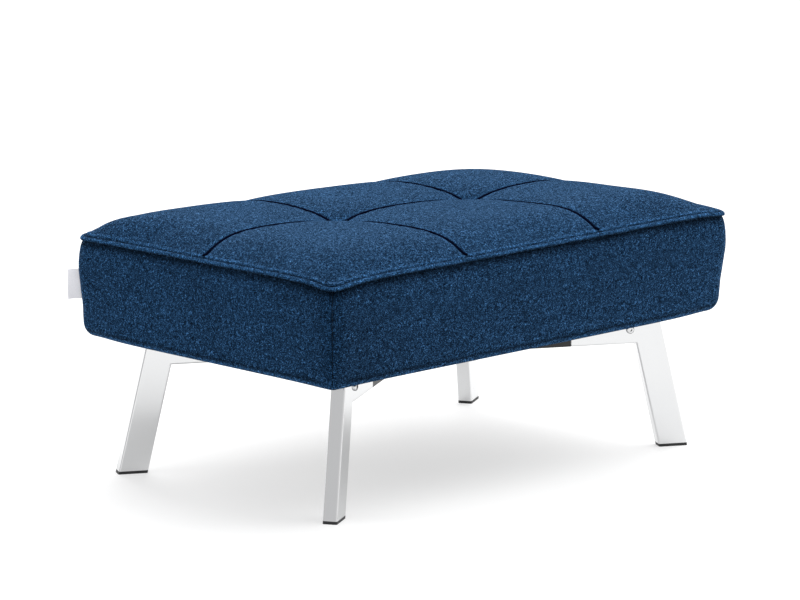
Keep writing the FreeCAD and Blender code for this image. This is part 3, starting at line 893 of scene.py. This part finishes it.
def shell_of(name, grid, thickness):
    """A closed shell of even thickness whose outside is a grid of points."""
    rows, columns = grid.shape[:2]
    normal = grid_normals(grid)
    middle = normal[rows // 3, columns // 2]
    outward = grid[rows // 3, columns // 2] * (1, 1, 0)
    if middle @ outward < 0:
        normal = -normal
    inner = grid - normal * thickness
    return closed_pad(name, grid.reshape(-1, 3), inner.reshape(-1, 3), rows, columns)


cloth_thickness = 0.002
for end, (turn, first, last) in strip_runs.items():
    grid = strip_points(turn, first, last)
    rows, columns = grid.shape[:2]
    strip = shell_of("side_strip_cover_" + end, grid, cloth_thickness)
    strip.data.materials.append(cover_cloth)
    held = np.zeros((rows, columns), bool)
    held[:lip_rows] = True
    held[lip_rows + side_rows - 2:] = True
    held[:, [0, 1, -2, -1]] = True
    lower_points = np.arange(rows * columns, 2 * rows * columns)
    held_points = np.concatenate([np.flatnonzero(held.ravel()), lower_points])
    fill_out(strip, held_points, pressure=3.0, slack=0.01, cap=0.002)
    set_painted_light(strip.data, np.tile(strip_painted_light(grid, end).ravel(), 2))
    smoother(strip)
    shown(strip, "cover_cloth", "side_strip_" + end)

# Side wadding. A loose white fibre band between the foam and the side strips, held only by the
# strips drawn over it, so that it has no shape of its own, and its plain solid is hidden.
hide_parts("side_wadding")

# Cloth label. A white satin tape folded in half, with its cut ends sewn into the seam of the left
# rear corner. It is blank.
label_low, label_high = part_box("side_label")
label_out = Vector((-1, 1, 0)).normalized()
label_flat = Vector((1, 1, 0)).normalized()
label_tip = Vector((label_low[0], label_high[1], 0)).dot(label_out) - 0.0006
label_side = (Vector(label_low) + Vector(label_high)).dot(label_flat) / 2
label_leg = 0.030
tape_gap = 0.00045
tape_thickness = 0.00022
tape_free = 0.018
satin = cloth_material(
    "label cloth", (0.93, 0.93, 0.97), yarn=0.0005, contrast=0.06, height=0.0001
)


def folded_tape(name):
    """A closed thin shell that runs out from the seam, folds and runs back."""
    steps = 24
    legs = [(label_tip - label_leg + label_leg * k / steps, tape_gap) for k in range(steps)]
    bend = []
    for turn in np.linspace(0, math.pi, 9):
        bend.append((label_tip + tape_gap * math.sin(turn), tape_gap * math.cos(turn)))
    path = legs + bend + [(out, -side) for out, side in reversed(legs)]
    levels = np.linspace(label_low[2] + 0.0015, label_high[2] - 0.0015, 22)
    middle = (label_low[2] + label_high[2]) / 2
    grid = []
    for level in levels:
        row = []
        for out, side in path:
            free = max(out - (label_tip - tape_free), 0) / tape_free
            curl = 0.0016 * free ** 2 * math.sin((level - middle) * 48) - 0.0010 * free ** 2
            place = label_out * (out - 0.0009 * free * ((level - middle) / 0.027) ** 2)
            place = place + label_flat * (label_side + side + curl)
            row.append((place.x, place.y, level - 0.0012 * free))
        grid.append(row)
    grid = np.array(grid)
    inner = grid + grid_normals(grid) * tape_thickness
    return closed_pad(name, grid.reshape(-1, 3), inner.reshape(-1, 3), *grid.shape[:2])


label = folded_tape("label_tape")
label.data.materials.append(satin)
shown(label, "label_cloth", "side_label")

# Dust cover. A black non-woven cloth drawn flat under the board, inside the hem, and stapled all
# round.
dust_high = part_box("dust_cover")[1]
dust_half = (dust_high[0] - 0.0005, dust_high[1] - 0.0005)
dust_corner = 0.004
dust_sheet_thickness = 0.0005
dust_x, dust_y = np.meshgrid(
    np.linspace(-dust_half[0], dust_half[0], 140), np.linspace(-dust_half[1], dust_half[1], 90)
)
dust_rows, dust_columns = dust_x.shape
dust_x, dust_y = into_corner(dust_x, dust_y, dust_half, dust_corner)
ripple = np.sin(dust_x * 46 + 2.1 * np.sin(dust_y * 19)) * np.sin(dust_y * 37 + 0.6)
dust_z = dust_high[2] - 0.0003 - 0.00012 * (1 + ripple)
dust_upper = np.stack([dust_x, dust_y, dust_z], -1).reshape(-1, 3)
dust_lower = dust_upper - (0, 0, dust_sheet_thickness)
dust = closed_pad("dust_cover_sheet", dust_upper, dust_lower, dust_rows, dust_columns)
dust_black = cloth_material(
    "dust cloth", (0.012, 0.012, 0.013), yarn=0.0012, contrast=0.5, height=0.0003, sheen=0.05
)
dust.data.materials.append(dust_black)
shown(dust, "dust_cloth", "dust_cover")

# Board and core foam. Birch plywood with a firm foam block glued on it. The board's edge shows
# its plies.
def plain_material(name, colour, roughness, metallic=0.0):
    """A finish of one colour, with fine unevenness in its gloss."""
    material = bpy.data.materials.new(name)
    material.use_nodes = True
    tree = material.node_tree
    shader = tree.nodes["Principled BSDF"]
    shader.inputs["Base Color"].default_value = (*colour, 1)
    shader.inputs["Metallic"].default_value = metallic
    place = node_at(tree, "ShaderNodeTexCoord")
    noise = node_at(tree, "ShaderNodeTexNoise")
    noise.inputs["Scale"].default_value = 90
    noise.inputs["Detail"].default_value = 4
    tree.links.new(place.outputs["Object"], noise.inputs["Vector"])
    unevenness = (roughness * 0.85, roughness * 1.15)
    gloss = stretched(tree, noise.outputs["Fac"], (0.0, 1.0), unevenness)
    tree.links.new(gloss, shader.inputs["Roughness"])
    return material


plywood = plain_material("plywood", (0.52, 0.36, 0.20), 0.6)
ply_tree = plywood.node_tree
ply_place = node_at(ply_tree, "ShaderNodeTexCoord")
ply_stretch = node_at(ply_tree, "ShaderNodeMapping")
ply_stretch.inputs["Scale"].default_value = (3.0, 40.0, 330.0)
ply_noise = node_at(ply_tree, "ShaderNodeTexNoise")
ply_noise.inputs["Scale"].default_value = 2.0
ply_noise.inputs["Detail"].default_value = 5.0
ply_colours = two_tones(ply_tree, 0.35, (0.30, 0.185, 0.09), 0.65, (0.60, 0.43, 0.25))
ply_tree.links.new(ply_place.outputs["Object"], ply_stretch.inputs["Vector"])
ply_tree.links.new(ply_stretch.outputs["Vector"], ply_noise.inputs["Vector"])
ply_tree.links.new(ply_noise.outputs["Fac"], ply_colours.inputs[0])
ply_tree.links.new(ply_colours.outputs[0], ply_tree.nodes["Principled BSDF"].inputs["Base Color"])


def finish_node(name, material):
    """Gives a drawn part its finish."""
    mesh = nodes[name].data
    mesh.materials.clear()
    mesh.materials.append(material)


finish_node("base_board", plywood)
finish_node("core_foam", foam_cream)

# Tuft ties and their washers. Waxed twine, tied down through the foam and the board where the
# quilting seams cross, and held under the board by steel washers.
twine_white = cloth_material("twine", (0.55, 0.52, 0.45), yarn=0.0008, contrast=0.3, height=0.0002)
zinc = plain_material("zinc", (0.62, 0.63, 0.65), 0.32, 1.0)
finish_node("tuft_tie_left", twine_white)
finish_node("tuft_tie_right", twine_white)
finish_node("tuft_washers", zinc)

# Legs. Each is a level arm and a splayed post of rectangular steel tube, mitred, welded, polished
# and chromed, with a black plastic glide pushed into its foot.
chrome = plain_material("chrome", (0.77, 0.775, 0.78), 0.07, 1.0)
black_plastic = plain_material("black plastic", (0.010, 0.010, 0.011), 0.5)
corners = ("left_front", "right_front", "left_rear", "right_rear")
for corner in corners:
    finish_node("leg_post_" + corner, chrome)
    finish_node("leg_arm_" + corner, chrome)
    finish_node("leg_glide_" + corner, black_plastic)

# Leg bolts and weld nuts. A chromed dome-headed bolt goes through each arm into a nut welded in
# the spigot inside.
# Painted shade on the bolt heads: their colour runs from pale chrome in the middle of each dome to
# near black at its rim, where the head sits in shade.
shaded_bolt_chrome = plain_material("shaded bolt chrome", (0.62, 0.625, 0.63), 0.12, 1.0)
bolt_tree = shaded_bolt_chrome.node_tree
bolt_rim = node_at(bolt_tree, "ShaderNodeLayerWeight")
bolt_rim.inputs["Blend"].default_value = 0.5
bolt_rim_shade = two_tones(bolt_tree, 0.25, (0.72, 0.725, 0.73), 0.65, (0.06, 0.06, 0.065))
bolt_tree.links.new(bolt_rim.outputs["Facing"], bolt_rim_shade.inputs[0])
bolt_tree.links.new(bolt_rim_shade.outputs[0], bolt_tree.nodes["Principled BSDF"].inputs["Base Color"])
finish_node("leg_bolts", shaded_bolt_chrome)
finish_node("weld_nuts", zinc)

# Arm pads. Black rubber pads glued between the arms and the underside of the cushion.
black_rubber = plain_material("black rubber", (0.018, 0.018, 0.018), 0.75)
for corner in corners:
    finish_node("arm_pad_" + corner, black_rubber)

# Cross frame. Four steel bars welded to two hub plates in a cross, with a tab near each end for
# the board's screws, all painted black. A zinc-plated spigot inside each end holds a leg arm.
black_paint = plain_material("black paint", (0.012, 0.012, 0.013), 0.38)
for corner in corners:
    finish_node("frame_bar_" + corner, black_paint)
    finish_node("frame_tab_" + corner, black_paint)
    finish_node("spigot_" + corner, zinc)
finish_node("hub_plate_upper", black_paint)
finish_node("hub_plate_lower", black_paint)

# Frame screws and tee nuts. Zinc-plated steel, which hold the frame to the board.
finish_node("frame_screws", zinc)
finish_node("tee_nuts", zinc)
